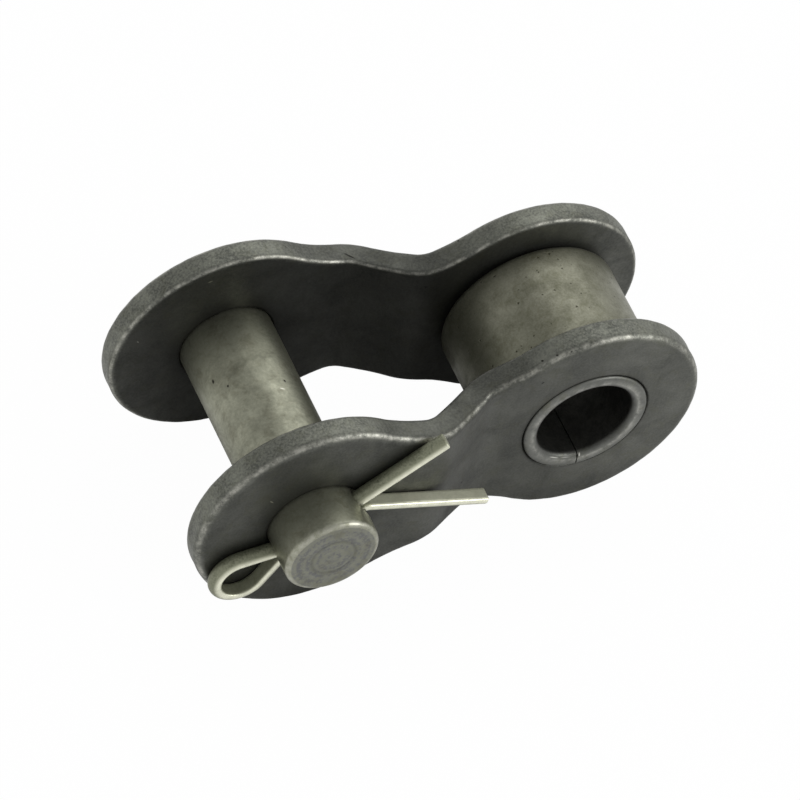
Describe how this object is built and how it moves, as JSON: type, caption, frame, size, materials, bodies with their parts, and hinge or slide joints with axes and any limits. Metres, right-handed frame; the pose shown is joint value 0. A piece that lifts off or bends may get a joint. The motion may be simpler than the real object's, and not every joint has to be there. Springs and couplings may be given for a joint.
{
  "type": "offset link",
  "caption": "Cranked connecting link for a roller chain: narrow end with bush and free roller, wide end with a removable pin held by a split pin.",
  "frame": {"origin": "centre of the bush, midway between the two side plates", "axes": "+X from the pin end to the bush end, +Y along the bush from the front plate with the split pin to the rear plate, +Z across the height of the plates"},
  "size_m": [0.0229, 0.0135, 0.0102],
  "materials": {
    "plate_steel": "dark heat-treated sheet, tumbled, with lighter worn edges",
    "bush_steel": "grey hardened strip with a burnished mouth",
    "roller_steel": "grey tumbled steel, finely pitted",
    "pin_steel": "grey turned steel with a dull end face",
    "wire_steel": "drawn half-round wire, dull zinc with bright edges"
  },
  "bodies": {
    "link": {"front_side_plate": "plate_steel", "rear_side_plate": "plate_steel", "bush": "bush_steel", "connecting_pin": "pin_steel", "split_pin": "wire_steel"},
    "roller": {"roller": "roller_steel"}
  },
  "joints": [
    {"name": "roller_spin", "type": "hinge", "parent": "link", "child": "roller", "pos_m": [0, 0, 0], "axis": [0, 1, 0], "continuous": true}
  ]
}
